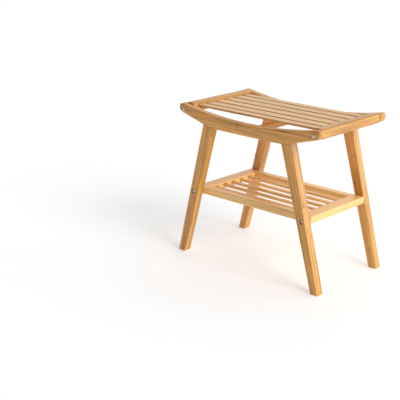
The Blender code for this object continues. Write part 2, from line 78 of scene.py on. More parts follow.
class StoolSeatSizes(bpy.types.PropertyGroup):
    """Shape of the long curved rails and of the slats and rails between them."""
    dip_height: FloatProperty(name="Rail height", description="Height of a long rail at mid-length",
                              default=0.0328, unit="LENGTH")
    top_rise: FloatProperty(name="Top rise", description="Climb of a long rail's top to its ends",
                            default=0.0254, unit="LENGTH")
    flat_end: FloatProperty(name="Underside rise", description="Length of the rising stretch at each end",
                            default=0.118, unit="LENGTH")
    rise_slope: FloatProperty(name="Rise slope", description="Slope of the underside's ends",
                              default=0.285)
    rise_soft: FloatProperty(name="Rise softness", description="How far the underside's bend is spread",
                             default=0.016, unit="LENGTH")
    nose: FloatProperty(name="Nose", description="Length of a long rail's rounded end",
                        default=0.013, unit="LENGTH")
    nose_power: FloatProperty(name="Nose squareness", description="2 is an ellipse, more is squarer",
                              default=2.4)
    rail_ease: FloatProperty(name="Rail edge", description="Rounding of a long rail's edges",
                             default=0.0045, unit="LENGTH")
    end_upper: FloatProperty(name="End rail upper edge", description="Rounding of an end rail's top",
                             default=0.008, unit="LENGTH")
    end_lower: FloatProperty(name="End rail lower edge", description="Rounding of its underside",
                             default=0.005, unit="LENGTH")
    slat_ease: FloatProperty(name="Slat edge", description="Rounding of a seat slat's edges",
                             default=0.0018, unit="LENGTH")
    stretcher_ease: FloatProperty(name="Stretcher edge", description="Rounding of the stretcher's edges",
                                  default=0.0022, unit="LENGTH")


class StoolLegSizes(bpy.types.PropertyGroup):
    """Shape of the legs."""
    foot_wide: FloatProperty(name="Foot width", description="Width of a leg on the floor",
                             default=0.0240, unit="LENGTH")
    outer_lean: FloatProperty(name="Outer lean", description="Lean of a leg's outer edge, per metre up",
                              default=0.2538)
    inner_lean: FloatProperty(name="Inner lean", description="Lean of a leg's inner edge, per metre up",
                              default=0.2839)
    ease: FloatProperty(name="Leg edge", description="Rounding of a leg's edges",
                        default=0.0022, unit="LENGTH")
    foot_ease: FloatProperty(name="Foot edge", description="Rounding of a foot's edge on the floor",
                             default=0.0011, unit="LENGTH")
    counterbore: FloatProperty(name="Counterbore", description="Width of the recess round a shelf bolt",
                               default=0.0145, unit="LENGTH")
    counterbore_deep: FloatProperty(name="Counterbore depth", description="Depth of that recess",
                                    default=0.005, unit="LENGTH")


class StoolShelfSizes(bpy.types.PropertyGroup):
    """Shape of the shelf's boards and slats."""
    ease: FloatProperty(name="Shelf edge", description="Rounding of the shelf frame's edges",
                        default=0.0024, unit="LENGTH")
    slat_ease: FloatProperty(name="Shelf slat edge", description="Rounding of a shelf slat's edges",
                             default=0.0026, unit="LENGTH")
    fit: FloatProperty(name="Fit", description="Gap between a slat or nut and its hole",
                       default=0.0003, unit="LENGTH")
    mouth: FloatProperty(name="Pocket mouth", description="How much wider a pocket is at its mouth",
                         default=0.0012, unit="LENGTH")
    mouth_deep: FloatProperty(name="Mouth depth", description="Depth of a pocket's wider mouth",
                              default=0.0028, unit="LENGTH")


class StoolBoltSizes(bpy.types.PropertyGroup):
    """Shape of the socket-head bolts."""
    head: FloatProperty(name="Head", description="Width of a bolt's head", default=0.0095, unit="LENGTH")
    head_tall: FloatProperty(name="Head height", description="Height of a bolt's head",
                             default=0.003, unit="LENGTH")
    dome: FloatProperty(name="Dome", description="Height of the head's domed part",
                        default=0.0012, unit="LENGTH")
    socket: FloatProperty(name="Socket", description="Width across the flats of the hexagon socket",
                          default=0.0040, unit="LENGTH")
    socket_deep: FloatProperty(name="Socket depth", description="Depth of the hexagon socket",
                               default=0.0018, unit="LENGTH")
    shank: FloatProperty(name="Shank", description="Width of a bolt's shank", default=0.006,
                         unit="LENGTH")


class StoolFinishes(bpy.types.PropertyGroup):
    """Colours and grain of the finishes."""
    pale: FloatVectorProperty(name="Pale bamboo", description="Lightest strips of the bamboo",
                              default=(0.79, 0.395, 0.080), subtype="COLOR", min=0.0, max=1.0)
    dark: FloatVectorProperty(name="Dark bamboo", description="Darkest fibres of the bamboo",
                              default=(0.34, 0.125, 0.018), subtype="COLOR", min=0.0, max=1.0)
    # slats and shelf take a paler pair of colours: partly their own paler bamboo, partly painted sheen
    # for the white surround's reflection on their level tops
    slat_pale_and_sheen: FloatVectorProperty(name="Pale slat", description="Lightest strips of slats and shelf",
                                   default=(0.98, 0.60, 0.22), subtype="COLOR", min=0.0, max=1.0)
    slat_dark_and_sheen: FloatVectorProperty(name="Dark slat", description="Darkest fibres of slats and shelf",
                                   default=(0.55, 0.26, 0.06), subtype="COLOR", min=0.0, max=1.0)
    strip_tall: FloatProperty(name="Strip width", description="Width of one bamboo strip",
                              default=0.0205, unit="LENGTH")
    strip_thick: FloatProperty(name="Strip thickness", description="Thickness of one bamboo strip",
                               default=0.0058, unit="LENGTH")
    knuckle_spacing: FloatProperty(name="Knuckle spacing", description="Distance between a cane's joints",
                                   default=0.27, unit="LENGTH")
    zinc: FloatVectorProperty(name="Zinc", description="Plating of the bolts and nuts",
                              default=(0.78, 0.78, 0.76), subtype="COLOR", min=0.0, max=1.0)
    birch: FloatVectorProperty(name="Dowel wood", description="Bare wood of the dowels",
                               default=(0.72, 0.53, 0.31), subtype="COLOR", min=0.0, max=1.0)


class StoolStudio(bpy.types.PropertyGroup):
    """Camera, light and floor."""
    camera_place: FloatVectorProperty(name="Camera place", description="Where the camera stands",
                                      default=(1.6736, -2.0548, 1.0313), subtype="TRANSLATION")
    camera_azimuth: FloatProperty(name="Azimuth", description="Turn of the view from straight ahead",
                                  default=math.radians(44.006), subtype="ANGLE")
    camera_elevation: FloatProperty(name="Elevation", description="How far the camera looks down",
                                    default=math.radians(17.925), subtype="ANGLE")
    camera_roll: FloatProperty(name="Roll", description="Tilt of the camera about its own axis",
                               default=math.radians(-0.187), subtype="ANGLE")
    camera_lens: FloatProperty(name="Lens", description="Focal length in millimetres", default=87.39)
    sky: FloatProperty(name="Surround", description="Brightness of the white surround", default=0.16)
    key: FloatProperty(name="Key light", description="Strength of the soft key light", default=2.0)
    key_spread: FloatProperty(name="Key spread", description="Apparent size of the key light",
                              default=math.radians(34), subtype="ANGLE")
    key_from: FloatVectorProperty(name="Key direction", description="Where the key light comes from",
                                  default=(0.85, -0.08, 0.52), subtype="DIRECTION")
    panel: FloatProperty(name="Back glow", description="Extra brightness of the surround behind",
                         default=0.85)
    panel_from: FloatVectorProperty(name="Glow direction", description="Middle of the brighter surround",
                                    default=(0.0, 0.97, 0.25), subtype="DIRECTION")
    panel_near: FloatProperty(name="Glow core", description="Cosine of the angle to the core's edge",
                              default=0.72)
    panel_far: FloatProperty(name="Glow edge", description="Cosine of the angle where the glow ends",
                             default=0.05)
    strip: FloatProperty(name="Strip light", description="Brightness of the upright soft strip",
                         default=3.2)
    strip_colour: FloatVectorProperty(name="Strip colour", description="Colour of the upright soft strip",
                                      default=(0.72, 0.95, 1.0), subtype="COLOR", min=0.0, max=1.0)
    strip_place: FloatVectorProperty(name="Strip place", description="Middle of the upright soft strip",
                                     default=(2.9, 2.7, 0.78), subtype="TRANSLATION")
    strip_wide: FloatProperty(name="Strip width", description="Width of the upright soft strip",
                              default=1.6, unit="LENGTH")
    strip_tall: FloatProperty(name="Strip height", description="Height of the upright soft strip",
                              default=1.4, unit="LENGTH")
    floor_half: FloatProperty(name="Floor", description="Half the floor's side", default=40.0,
                              unit="LENGTH")
    floor_steps: IntProperty(name="Floor steps", description="Faces along the floor's side", default=8)
    floor_glow: FloatVectorProperty(name="Floor glow", description="Light of the pale floor itself",
                                    default=(0.41, 0.41, 0.41), subtype="COLOR", min=0.0, max=1.0)
    floor_tone: FloatVectorProperty(name="Floor tone", description="Colour of the floor",
                                    default=(0.73, 0.73, 0.73), subtype="COLOR", min=0.0, max=1.0)


def settings():
    """The scene's own copy of every size and colour."""
    return bpy.context.scene.stool_looks


def node_box(name):
    """Low and high corner of a CAD node, as arrays."""
    low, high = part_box(name)
    return np.array(low), np.array(high)


# ---- surfaces ----

def rounded_rectangle(half_wide, half_tall, radii, inset, steps=7):
    """Rings of a rectangle with quarter-circle corners, one ring for each inset.

    A corner's points are its centre plus its radius times (cos a, sin a), where the centre lies one
    radius in from both sides and a runs over that corner's quarter turn. An inset shrinks the
    half-sides and the radii alike. A point on each flat beside a corner keeps the flat's shading flat.
    """
    inset = np.atleast_1d(np.asarray(inset, float))[:, None]
    support = min(SUPPORT, 0.4 * (min(half_wide, half_tall) - max(radii)))
    rings = []
    for corner, (sign_u, sign_v) in enumerate(((1, 1), (-1, 1), (-1, -1), (1, -1))):
        angles = QUARTER_TURN * (corner + np.linspace(0.0, 1.0, steps + 1))
        radius = np.maximum(radii[corner] - inset, TINY)
        u = sign_u * (half_wide - inset - radius) + radius * np.cos(angles)
        v = sign_v * (half_tall - inset - radius) + radius * np.sin(angles)
        before = np.array([[math.sin(angles[0]), -math.cos(angles[0])]]) * support
        after = np.array([[-math.sin(angles[-1]), math.cos(angles[-1])]]) * support
        u = np.hstack([u[:, :1] + before[:, :1], u, u[:, -1:] + after[:, :1]])
        v = np.hstack([v[:, :1] + before[:, 1:], v, v[:, -1:] + after[:, 1:]])
        rings.append(np.stack([u, v], axis=2))
    return np.concatenate(rings, axis=1)


def eased_ends(length, ease, steps=5, stretch=3):
    """Stations along a bar and the inset of its section at each, for a bar with rounded ends.

    Over the last stretch of length ease, the station is the end less ease (1 - sin a) and the inset is
    ease (1 - cos a), with a from 0 to a quarter turn. A last ring on the flat end keeps it flat.
    """
    angles = np.linspace(0.0, QUARTER_TURN, steps + 1)
    station = length - ease * (1 - np.sin(angles))
    inset = ease * (1 - np.cos(angles))
    station = np.concatenate([[length - ease - SUPPORT], station, [length]])
    inset = np.concatenate([[0.0], inset, [ease + SUPPORT]])
    middle = np.linspace(-station[0], station[0], stretch + 2)[1:-1]
    return (np.concatenate([-station[::-1], middle, station]),
            np.concatenate([inset[::-1], np.zeros(stretch), inset]))


def ring_faces(rings, around):
    """Quads between neighbouring rings of a tube, and one face at each end."""
    ring, step = np.meshgrid(np.arange(rings - 1), np.arange(around), indexing="ij")
    here, there = ring * around + step, ring * around + (step + 1) % around
    quads = np.stack([here, there, there + around, here + around], axis=2).reshape(-1, 4)
    first = list(range(around))[::-1]
    last = list(range((rings - 1) * around, rings * around))
    return quads.tolist() + [first, last]


def mesh_from(name, points, faces):
    """A closed mesh with its faces outwards and its sharp edges marked."""
    mesh = bpy.data.meshes.new(name)
    mesh.from_pydata(points.reshape(-1, 3).tolist(), [], faces)
    mesh.validate()
    if enclosed_volume(mesh) < 0:
        mesh.flip_normals()
    mesh.shade_smooth()
    mesh.set_sharp_from_angle(angle=SHARP_EDGE)
    return mesh


def enclosed_volume(mesh):
    """Six times the volume inside a closed mesh: the sum of the triple products of its triangles."""
    mesh.calc_loop_triangles()
    points = np.empty(len(mesh.vertices) * 3)
    mesh.vertices.foreach_get("co", points)
    corners = np.empty(len(mesh.loop_triangles) * 3, int)
    mesh.loop_triangles.foreach_get("vertices", corners)
    a, b, c = points.reshape(-1, 3)[corners.reshape(-1, 3)].transpose(1, 0, 2)
    return float(np.einsum("ij,ij->", a, np.cross(b, c)))


def bar_mesh(name, low, high, along, radii, end_ease):
    """A bar between two corners: a rounded rectangle carried along one axis, with eased ends.

    The section lies across the axis called along, its first side on the next axis and its second on
    the one after, and shrinks by the inset of eased_ends as it nears either end.
    """
    low, high = np.asarray(low, float), np.asarray(high, float)
    centre, half = (low + high) / 2, (high - low) / 2
    first, second = (along + 1) % 3, (along + 2) % 3
    stations, inset = eased_ends(half[along], end_ease)
    section = rounded_rectangle(half[first], half[second], radii, inset)
    points = np.empty((*section.shape[:2], 3))
    points[..., along] = stations[:, None]
    points[..., first], points[..., second] = section[..., 0], section[..., 1]
    return mesh_from(name, points + centre, ring_faces(*section.shape[:2]))


def turned_mesh(name, stations, radii, corners, sides=48):
    """A turned piece along Z: each ring's radius times (cos a, sin a) at its station.

    Where corners is 1 the ring is a hexagon of that half-width across flats, so its radius at a is
    divided by the cosine of the angle from the nearest flat's middle. The first and last radii are
    near zero, which closes the ends.
    """
    angles = np.linspace(0.0, 2 * HALF_TURN, sides, endpoint=False)
    third = HALF_TURN / 3
    from_flat = (angles + third / 2) % third - third / 2
    stations, radii, corners = (np.asarray(row, float)[:, None] for row in (stations, radii, corners))
    ring = radii * (corners / np.cos(from_flat) + 1 - corners)
    height = np.broadcast_to(stations, ring.shape)
    points = np.stack([ring * np.cos(angles), ring * np.sin(angles), height], axis=2)
    return mesh_from(name, points, ring_faces(*ring.shape))


def round_cutter(name, radius, start, end):
    """A round bar from one point to another, to cut holes with."""
    start, end = Vector(start), Vector(end)
    mesh = turned_mesh(name, (0.0, 0.0, (end - start).length, (end - start).length),
                       (TINY, radius, radius, TINY), (0, 0, 0, 0))
    mesh.transform((end - start).to_track_quat("Z", "Y").to_matrix().to_4x4())
    mesh.transform(Matrix.Translation(start))
    return mesh


def add_piece(mesh, material, nodes):
    """Put a finished mesh in the scene, riding on the stool's body in place of its CAD nodes."""
    piece = bpy.data.objects.new(mesh.name, mesh)
    bpy.context.scene.collection.objects.link(piece)
    mesh.materials.clear()
    mesh.materials.append(material)
    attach(piece, BODY)
    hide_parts(*nodes)
    return piece


def cut_holes(mesh, cutters):
    """The mesh less every cutter. The cutters stand clear of one another and are used up."""
    body = bpy.data.objects.new(mesh.name + "_uncut", mesh)
    bpy.context.scene.collection.objects.link(body)
    tools = []
    for cutter in cutters:
        tool = bpy.data.objects.new(cutter.name, cutter)
        bpy.context.scene.collection.objects.link(tool)
        step = body.modifiers.new(cutter.name, "BOOLEAN")
        step.operation, step.solver, step.object = "DIFFERENCE", "EXACT", tool
        tools.append(tool)
    shaped = body.evaluated_get(bpy.context.evaluated_depsgraph_get())
    result = bpy.data.meshes.new_from_object(shaped)
    name = mesh.name
    for used in [body, *tools]:
        data = used.data
        bpy.data.objects.remove(used, do_unlink=True)
        bpy.data.meshes.remove(data)
    result.name = name
    result.shade_smooth()
    result.set_sharp_from_angle(angle=SHARP_EDGE)
    return result


# ---- long rails ----

def rail_heights(x):
    """Underside and top of a long rail at distances x from its middle.

    The top is a circle's arc that rises by top_rise at the rail's end. The underside is flat, then
    rises at rise_slope past the start of the rise, softened as half of (d + root(d^2 + soft^2)).
    """
    size = settings().seat
    low, high = node_box("seat_rail_front")
    half = (high[0] - low[0]) / 2
    radius = (half ** 2 + size.top_rise ** 2) / (2 * size.top_rise)
    past = np.abs(x) - (half - size.flat_end)
    bottom = low[2] + size.rise_slope * (past + np.hypot(past, size.rise_soft)) / 2
    top = low[2] + size.dip_height + radius - np.sqrt(radius ** 2 - np.square(x))
    return bottom, top


def rail_outline(spans=96, nose_steps=14):
    """A long rail seen from the front: (x, z) from its left tip along the top and back underneath.

    Over the nose, x is the nose's start plus its length times sin(a)^(2/p), and the half-height is
    multiplied by cos(a)^(2/p), a superellipse of power p.
    """
    size = settings().seat
    low, high = node_box("seat_rail_front")
    reach = (high[0] - low[0]) / 2 - size.nose
    power = 2 / size.nose_power
    angles = np.linspace(0.0, QUARTER_TURN, nose_steps + 1)[1:]
    nose_x = reach + size.nose * np.sin(angles) ** power
    nose_share = np.maximum(np.cos(angles), 0.0) ** power
    nose_share[-1] = 0.0
    x = np.concatenate([-nose_x[::-1], np.linspace(-reach, reach, spans + 1), nose_x])
    share = np.concatenate([nose_share[::-1], np.ones(spans + 1), nose_share])
    bottom, top = rail_heights(x)
    middle, half = (bottom + top) / 2, share * (top - bottom) / 2
    upper, lower = np.stack([x, middle + half], 1), np.stack([x, middle - half], 1)
    return np.concatenate([upper, lower[-2:0:-1]])


def rail_mesh(name, low_y, high_y):
    """A long rail: its outline carried across the thickness, drawn in by the inset of a rounded edge.

    A ring at distance d from the mid-plane is the outline moved inwards, along its own normal, by the
    inset that eased_ends gives at d. The side faces are filled by strips between top and underside.
    """
    outline = rail_outline()
    count = len(outline)
    ahead = np.roll(outline, -1, axis=0) - np.roll(outline, 1, axis=0)
    inward = np.stack([ahead[:, 1], -ahead[:, 0]], axis=1)
    inward /= np.linalg.norm(inward, axis=1, keepdims=True)
    stations, inset = eased_ends((high_y - low_y) / 2, settings().seat.rail_ease, steps=6, stretch=1)
    flat = outline[None] + inset[:, None, None] * inward[None]
    points = np.empty((*flat.shape[:2], 3))
    points[..., 0], points[..., 2] = flat[..., 0], flat[..., 1]
    points[..., 1] = stations[:, None] + (low_y + high_y) / 2
    faces = ring_faces(len(stations), count)[:-2]
    near = np.arange(1, count // 2 - 1)
    strips = np.stack([near, near + 1, count - near - 1, count - near], axis=1)
    tips = [[0, 1, count - 1], [count // 2, count // 2 + 1, count // 2 - 1]]
    last = (len(stations) - 1) * count
    front = strips.tolist() + tips
    faces += [face[::-1] for face in front] + [[corner + last for corner in face] for face in front]
    return mesh_from(name, points, faces)


class STOOL_OT_seat_rails(bpy.types.Operator):
    """Build the two long curved rails of the seat."""
    bl_idname = "stool.seat_rails"
    bl_label = "Seat Rails"

    def execute(self, context):
        for number, (side, _) in enumerate(SIDES):
            node = "seat_rail_" + side
            low, high = node_box(node)
            mesh = rail_mesh("long_rail_" + side, low[1], high[1])
            material = bamboo("rail_bamboo_" + side, ALONG_X, RAIL_SEED + number)
            add_piece(mesh, material, [node])
        return {"FINISHED"}


# ---- end rails, slats and stretcher ----

def slat_slots(prefix, count, ease, end, sign):
    """Cutters for the pockets that hold a set of slats at one end of the stool.

    A pocket is its slat's own section grown by the fit, and has a shallow mouth that is wider still.
    """
    fit, grow, deep = settings().shelf.fit, settings().shelf.mouth, settings().shelf.mouth_deep
    low, high = node_box(f"{prefix}_end_{end}")
    inner_face = low[0] if sign > 0 else high[0]
    cutters = []
    for number in range(1, count + 1):
        low, high = node_box(f"{prefix}_slat_{number}")
        for name, more, tip in (("slot", fit, sign * (high[0] + fit)),
                                ("mouth", grow, inner_face + sign * deep)):
            near, far = sorted((0.0, tip))
            corner_low = (near, low[1] - more, low[2] - more)
            corner_high = (far, high[1] + more, high[2] + more)
            cutters.append(bar_mesh(f"{name}_{number}", corner_low, corner_high, 0, [ease + more] * 4,
                                    TINY))
    return cutters


def nut_holes(prefix, end):
    """Cutters for the holes that take an end's two barrel nuts from below."""
    fit = settings().shelf.fit
    cutters = []
    underside = node_box(f"{prefix}_end_{end}")[0][2]
    for side, _ in SIDES:
        low, high = node_box(f"{prefix}_nut_{side}_{end}")
        x, y, _ = (low + high) / 2
        radius = (high[0] - low[0]) / 2 + fit
        start, stop = (x, y, underside - radius), (x, y, high[2] + fit)
        cutters.append(round_cutter("nut_hole_" + side, radius, start, stop))
    return cutters


class STOOL_OT_seat_ends(bpy.types.Operator):
    """Build the seat's two end rails, slotted for the slats."""
    bl_idname = "stool.seat_ends"
    bl_label = "Seat Ends"

    def execute(self, context):
        size = settings().seat
        radii = [size.end_upper, size.end_lower, size.end_lower, size.end_upper]
        for number, (end, sign) in enumerate(ENDS):
            node = "seat_end_" + end
            low, high = node_box(node)
            mesh = bar_mesh("end_rail_" + end, low, high, 1, radii, settings().shelf.fit)
            slots = slat_slots("seat", SEAT_SLATS, size.slat_ease, end, sign)
            mesh = cut_holes(mesh, slots + nut_holes("seat", end))
            material = bamboo("end_rail_bamboo_" + end, ALONG_Y, END_SEED + number)
            add_piece(mesh, material, [node])
        return {"FINISHED"}


def build_slats(prefix, piece_name, ease, seed):
    """Build a set of slats that run along X, with painted shade on the sides that face a narrow gap."""
    names = sorted(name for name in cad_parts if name.startswith(prefix + "_slat_"))
    for number, node in enumerate(names, start=1):
        low, high = node_box(node)
        mesh = bar_mesh(f"{piece_name}_{number}", low, high, 0, [ease] * 4, ease / 2)
        gap_shaded_sides = []
        # painted shade goes on each side that faces a neighbouring slat across a narrow gap
        if prefix == "seat":
            gap_shaded_sides = [low[1]] * (number > 1) + [high[1]] * (number < len(names))
        material = bamboo(f"{piece_name}_bamboo_{number}", ALONG_X, seed + number, True,
                          gap_shaded_sides=gap_shaded_sides)
        add_piece(mesh, material, [node])


class STOOL_OT_seat_slats(bpy.types.Operator):
    """Build the seat's flat slats."""
    bl_idname = "stool.seat_slats"
    bl_label = "Seat Slats"

    def execute(self, context):
        build_slats("seat", "seat_board", settings().seat.slat_ease, SEAT_SLAT_SEED)
        return {"FINISHED"}


class STOOL_OT_stretcher(bpy.types.Operator):
    """Build the stretcher under the middle of the seat."""
    bl_idname = "stool.stretcher"
    bl_label = "Stretcher"

    def execute(self, context):
        ease = settings().seat.stretcher_ease
        low, high = node_box("seat_stretcher")
        inner = node_box("seat_rail_front")[1][1], node_box("seat_rail_back")[0][1]
        low[1], high[1] = inner
        mesh = bar_mesh("cross_bar", low, high, 1, [ease] * 4, settings().shelf.fit)
        material = bamboo("cross_bar_bamboo", ALONG_Y, CROSS_BAR_SEED)
        add_piece(mesh, material, ["seat_stretcher"])
        return {"FINISHED"}


# ---- legs ----

def leg_edges(z):
    """Distances of a leg's inner and outer edge from the middle at heights z: straight leaning lines."""
    size = settings().legs
    foot = node_box("leg_front_right")[1][0]
    return foot - size.foot_wide - size.inner_lean * z, foot - size.outer_lean * z


def leg_mesh(name, sign_x, low_y, high_y, rings=26, rounds=12, first_guess=0.4):
    """A leg: a rounded rectangle carried up two leaning lines, and cut to the long rail's underside.

    A section point at share f of the width follows x(z) = inner(z) + f (outer(z) - inner(z)) up to
    the height where that line meets the rail, found by repeating z = underside(x(z)). Each ring's
    height is a share of that, so the rings turn from level at the foot to the rail's curve.
    """
    size = settings().legs
    inner, outer = leg_edges(0.0)
    wide, deep = (outer - inner) / 2, (high_y - low_y) / 2
    angles = np.linspace(QUARTER_TURN, 0.0, 5)
    levels = np.concatenate([[0.0], size.foot_ease * (1 - np.sin(angles))])
    inset = np.concatenate([[size.foot_ease + SUPPORT], size.foot_ease * (1 - np.cos(angles))])
    section = rounded_rectangle(wide, deep, [size.ease] * 4, np.append(inset, 0.0))
    share = (section[..., 0] + wide) / (2 * wide)
    reach = np.full(share.shape[1], first_guess)
    for _ in range(rounds):
        low_x, high_x = leg_edges(reach)
        reach = rail_heights(low_x + share[-1] * (high_x - low_x))[0] - settings().shelf.fit
    body = np.linspace(size.foot_ease, 1.0, rings)[1:]
    heights = np.concatenate([np.repeat(levels[:, None], len(reach), 1), body[:, None] * reach])
    rows = np.minimum(np.arange(len(heights)), len(inset))
    section, share = section[rows], share[rows]
    low_x, high_x = leg_edges(heights)
    points = np.empty((*share.shape, 3))
    points[..., 0] = sign_x * (low_x + share * (high_x - low_x))
    points[..., 1] = section[..., 1] + (low_y + high_y) / 2
    points[..., 2] = heights
    return mesh_from(name, points, ring_faces(*share.shape))


class STOOL_OT_legs(bpy.types.Operator):
    """Build the four tapered legs with their bolt recesses."""
    bl_idname = "stool.legs"
    bl_label = "Legs"

    def execute(self, context):
        size = settings().legs
        lean = (size.outer_lean + size.inner_lean) / 2
        for number, (corner, sign_x, sign_y) in enumerate(CORNERS):
            node = "leg_" + corner
            low, high = node_box(node)
            mesh = leg_mesh("tapered_leg_" + corner, sign_x, low[1], high[1])
            bolt_low, bolt_high = node_box("shelf_bolt_" + corner)
            middle = (bolt_low + bolt_high) / 2
            face = high[1] if sign_y > 0 else low[1]
            mouth = (middle[0], face + sign_y * size.counterbore_deep, middle[2])
            floor = (middle[0], face - sign_y * size.counterbore_deep, middle[2])
            mesh = cut_holes(mesh, [round_cutter("recess", size.counterbore / 2, mouth, floor)])
            turn = (0.0, QUARTER_TURN + math.atan(sign_x * lean), 0.0)
            material = bamboo("leg_bamboo_" + corner, turn, LEG_SEED + number)
            add_piece(mesh, material, [node])
        return {"FINISHED"}


# ---- shelf ----

class STOOL_OT_shelf_frame(bpy.types.Operator):
    """Build the shelf's front and back rails and its end boards."""
    bl_idname = "stool.shelf_frame"
    bl_label = "Shelf Frame"

    def execute(self, context):
        size = settings().shelf
        inner = node_box("shelf_end_left")[1][0], node_box("shelf_end_right")[0][0]
        for number, (side, _) in enumerate(SIDES):
            node = "shelf_rail_" + side
            low, high = node_box(node)
            low[0], high[0] = inner
            mesh = bar_mesh("shelf_bar_" + side, low, high, 0, [size.ease] * 4, size.fit)
            material = bamboo("shelf_bar_bamboo_" + side, ALONG_X, SHELF_BAR_SEED + number, True,
                              SHELF_LIFT)
            add_piece(mesh, material, [node])
        for number, (end, sign) in enumerate(ENDS):
            node = "shelf_end_" + end
            low, high = node_box(node)
            mesh = bar_mesh("shelf_board_" + end, low, high, 1, [size.ease] * 4, size.ease / 2)
            slots = slat_slots("shelf", SHELF_SLATS, size.slat_ease, end, sign)
            mesh = cut_holes(mesh, slots + nut_holes("shelf", end))
            material = bamboo("shelf_board_bamboo_" + end, ALONG_Y, SHELF_BOARD_SEED + number, True,
                              SHELF_LIFT)
            add_piece(mesh, material, [node])
        return {"FINISHED"}


class STOOL_OT_shelf_slats(bpy.types.Operator):
    """Build the shelf's narrow slats."""
    bl_idname = "stool.shelf_slats"
    bl_label = "Shelf Slats"

    def execute(self, context):
        build_slats("shelf", "shelf_strip", settings().shelf.slat_ease, SHELF_SLAT_SEED)
        return {"FINISHED"}


# ---- fasteners ----

def bolt_mesh(name, length):
    """A socket-head bolt along Z with the head's top at 0 and the tip at minus its length.

    The rings run from the socket's floor, up its hexagon walls, over a dome whose height falls with
    the square of the radius, down the head's side and along the shank to a chamfered tip.
    """
    size = settings().bolts
    head, socket, shank = size.head / 2, size.socket / 2, size.shank / 2
    rim = socket * 1.22     # where the dome starts, outside the hexagon's corners
    dome_radii = np.linspace(rim, head, 7)
    dome = -size.dome * np.square((dome_radii - rim) / (head - rim))
    stations = [-size.socket_deep * 1.15, -size.socket_deep, -size.socket_deep, -size.dome * 0.1, 0.0,
                *dome, -size.head_tall + SUPPORT, -size.head_tall, -size.head_tall, -length + SUPPORT * 2,
                -length, -length]
    radii = [TINY, socket - SUPPORT / 2, socket, socket, socket * 1.1, *dome_radii, head,
             head - SUPPORT / 2, shank, shank, shank - SUPPORT * 2, TINY]
    corners = [0, 1, 1, 1, 0.6] + [0] * (len(stations) - 5)
    return turned_mesh(name, stations, radii, corners)


class STOOL_OT_bolts(bpy.types.Operator):
    """Build the eight socket-head bolts."""
    bl_idname = "stool.bolts"
    bl_label = "Bolts"

    def execute(self, context):
        material = zinc_steel()
        for place in ("seat", "shelf"):
            for corner, _, sign_y in CORNERS:
                node = f"{place}_bolt_{corner}"
                low, high = node_box(node)
                middle = (low + high) / 2
                mesh = bolt_mesh(f"{place}_socket_bolt_{corner}", high[1] - low[1])
                mesh.transform(Matrix.Rotation(-sign_y * QUARTER_TURN, 4, "X"))
                face = high[1] if sign_y > 0 else low[1]
                mesh.transform(Matrix.Translation((middle[0], face, middle[2])))
                add_piece(mesh, material, [node])
        return {"FINISHED"}


class STOOL_OT_hidden_fasteners(bpy.types.Operator):
    """Give the barrel nuts and leg dowels, which keep their CAD shapes, their own finishes."""
    bl_idname = "stool.hidden_fasteners"
    bl_label = "Nuts And Dowels"

    def execute(self, context):
        steel, birch = zinc_steel(), dowel_wood()
        for name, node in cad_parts.items():
            if "_nut_" in name or "_dowel_" in name:
                for place in node.material_slots:
                    place.material = steel if "_nut_" in name else birch
        return {"FINISHED"}


# ---- finishes ----

class Value:
    """A shader socket that can be used in arithmetic."""

    def __init__(self, finish, socket):
        self.finish = finish
        self.socket = socket

    def math(self, operation, *values):
        """A Math node on this value and others, in the order given."""
        inputs = dict(enumerate(values))
        return self.finish.node("ShaderNodeMath", {"operation": operation}, inputs)

    def __add__(self, other):
        return self.math("ADD", self, other)

    __radd__ = __add__

    def __mul__(self, other):
        return self.math("MULTIPLY", self, other)

    __rmul__ = __mul__

    def __sub__(self, other):
        return self.math("SUBTRACT", self, other)

    def __rsub__(self, other):
        return self.math("SUBTRACT", other, self)

    def __truediv__(self, other):
        return self.math("DIVIDE", self, other)

    def floor(self):
        """The whole number below."""
        return self.math("FLOOR", self)

    def share(self):
        """The part after the point."""
        return self.math("FRACT", self)

    def size(self):
        """The value without its sign."""
        return self.math("ABSOLUTE", self)

    def clamp(self):
        """The value kept between 0 and 1."""
        return self.finish.node("ShaderNodeClamp", None, {"Value": self})

    def fade(self, near, far):
        """1 up to near, falling smoothly to 0 at far."""
        inputs = {"Value": self, "From Min": near, "From Max": far, "To Min": 1.0, "To Max": 0.0}
        return self.finish.node("ShaderNodeMapRange", {"interpolation_type": "SMOOTHSTEP"}, inputs)


class NodeBuilder:
    """A node tree being built."""

    def __init__(self, tree):
        self.tree = tree

    def node(self, kind, options=None, inputs=None, output=0):
        """Add a node, set its options and then its inputs, and return one of its outputs."""
        made = self.tree.nodes.new(kind)
        for key, value in (options or {}).items():
            setattr(made, key, value)
        for key, value in (inputs or {}).items():
            self.feed(made.inputs[key], value)
        return Value(self, made.outputs[output])

    def feed(self, socket, value):
        """Set a socket, or link a value to it."""
        if isinstance(value, Value):
            self.tree.links.new(value.socket, socket)
        else:
            socket.default_value = value


class Finish(NodeBuilder):
    """A material being built from nodes."""

    def __init__(self, name):
        self.material = bpy.data.materials.new(name)
        self.material.use_nodes = True
        super().__init__(self.material.node_tree)
        self.shader = self.tree.nodes["Principled BSDF"]

    def surface(self, **inputs):
        """Set the shader's sockets, named with underscores for spaces."""
        for key, value in inputs.items():
            self.feed(self.shader.inputs[key.replace("_", " ")], value)

    def noise(self, vector, detail, roughness=0.55):
        """Cloudy noise at a vector whose units are the noise's own."""
        inputs = {"Vector": vector, "Scale": 1.0, "Detail": detail, "Roughness": roughness}
        return self.node("ShaderNodeTexNoise", None, inputs)

    def vector(self, x, y, z):
        """A vector of three values."""
        return self.node("ShaderNodeCombineXYZ", None, {"X": x, "Y": y, "Z": z})

    def mix(self, factor, first, second):
        """Two colours mixed by a factor."""
        options = {"data_type": "RGBA", "clamp_factor": True}
        return self.node("ShaderNodeMix", options, {0: factor, 6: first, 7: second}, 2)

    def bump(self, height, distance):
        """A surface normal from heights from 0 to 1 over a distance."""
        inputs = {"Height": height, "Distance": distance, "Strength": 1.0}
        return self.node("ShaderNodeBump", None, inputs)


